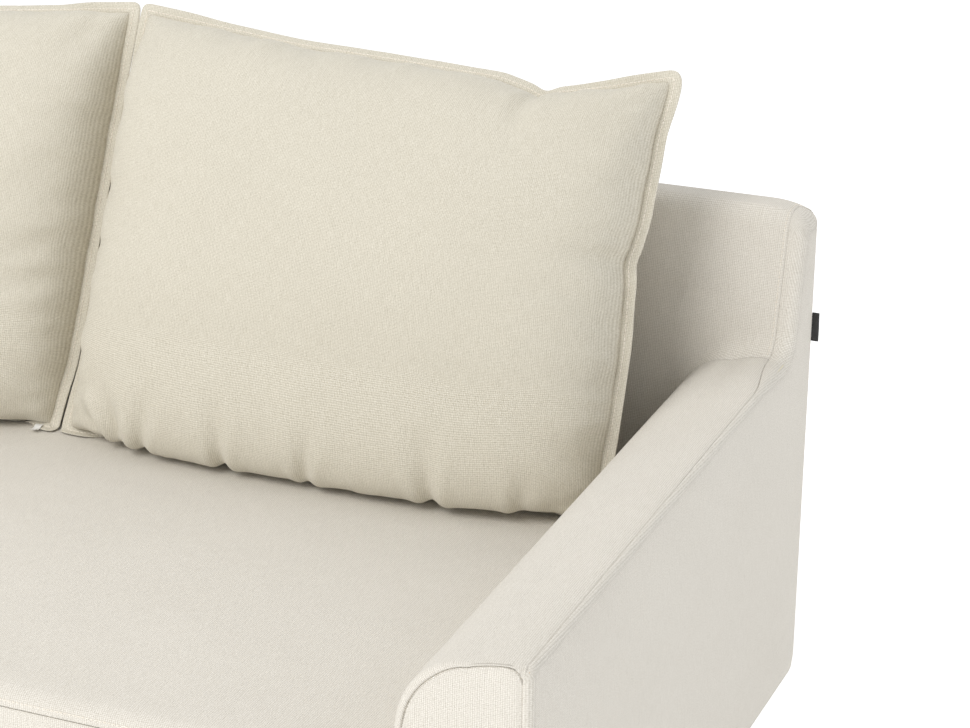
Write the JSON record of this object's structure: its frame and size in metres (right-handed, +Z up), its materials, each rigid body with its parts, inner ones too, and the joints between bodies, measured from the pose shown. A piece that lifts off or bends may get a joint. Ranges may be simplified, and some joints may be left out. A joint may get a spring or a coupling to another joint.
{
  "type": "two-seat fabric sofa",
  "caption": "Low-backed fabric sofa with rounded sloping arms, an undivided bench seat, loose flanged back cushions that lift off, and turned wooden legs.",
  "frame": {"origin": "on the floor, under the middle of the body", "axes": "+X to the right of someone facing the sofa, +Y towards its back, +Z up"},
  "size_m": [1.588, 0.87, 0.8912],
  "materials": {
    "cream_fabric": "matte",
    "cushion_fabric": "matte",
    "oak": "satin",
    "pine": "matte",
    "plywood": "matte",
    "fibreboard": "matte",
    "foam": "matte",
    "fibre_fill": "matte",
    "spring_steel": "satin",
    "zinc": "satin",
    "nylon": "satin",
    "dust_cloth": "matte",
    "black_plastic": "matte",
    "black_ribbon": "matte"
  },
  "bodies": {
    "body": {"arm_foam_left": "foam", "arm_foam_right": "foam", "arm_front_board_left": "plywood", "arm_front_board_right": "plywood", "arm_front_cover_left": "cream_fabric", "arm_front_cover_right": "cream_fabric", "arm_top_cover_left": "cream_fabric", "arm_top_cover_right": "cream_fabric", "arm_top_rail_left": "pine", "arm_top_rail_right": "pine", "back_centre_post": "pine", "back_foam": "foam", "back_front_cover": "cream_fabric", "back_lower_rail": "pine", "back_panel": "fibreboard", "back_post_left": "pine", "back_post_right": "pine", "back_rear_cover": "cream_fabric", "back_top_rail": "pine", "dust_cover": "dust_cloth", "front_rail": "pine", "leg_block_front_left": "plywood", "leg_block_front_right": "plywood", "leg_block_rear_left": "plywood", "leg_block_rear_right": "plywood", "leg_bolt_front_left": "zinc", "leg_bolt_front_right": "zinc", "leg_bolt_rear_left": "zinc", "leg_bolt_rear_right": "zinc", "leg_front_left": "oak", "leg_front_right": "oak", "leg_glide_front_left": "black_plastic", "leg_glide_front_right": "black_plastic", "leg_glide_rear_left": "black_plastic", "leg_glide_rear_right": "black_plastic", "leg_rear_left": "oak", "leg_rear_right": "oak", "rear_rail": "pine", "seat_cover": "cream_fabric", "seat_foam": "foam", "seat_front_cover": "cream_fabric", "seat_spring_1": "spring_steel", "seat_spring_2": "spring_steel", "seat_spring_3": "spring_steel", "seat_spring_4": "spring_steel", "seat_spring_5": "spring_steel", "seat_spring_6": "spring_steel", "side_cover_left": "cream_fabric", "side_cover_right": "cream_fabric", "side_rail_left": "pine", "side_rail_right": "pine", "side_tag": "black_ribbon", "spring_clip_strip_front": "zinc", "spring_clip_strip_rear": "zinc"},
    "cushion_left": {"cushion_cover_left": "cushion_fabric", "cushion_fill_left": "fibre_fill"},
    "cushion_right": {"cushion_cover_right": "cushion_fabric", "cushion_fill_right": "fibre_fill"},
    "zip_left": {"zip_slider_left": "nylon"},
    "zip_right": {"zip_slider_right": "nylon"}
  },
  "joints": [
    {"name": "cushion_left_lift", "type": "slide", "parent": "body", "child": "cushion_left", "axis": [0, 0, 1], "range_m": [0, 0.45]},
    {"name": "cushion_right_lift", "type": "slide", "parent": "body", "child": "cushion_right", "axis": [0, 0, 1], "range_m": [0, 0.45]},
    {"name": "zip_left_run", "type": "slide", "parent": "cushion_left", "child": "zip_left", "axis": [1, 0, 0], "range_m": [0, 0.39]},
    {"name": "zip_right_run", "type": "slide", "parent": "cushion_right", "child": "zip_right", "axis": [1, 0, 0], "range_m": [0, 0.39]}
  ]
}
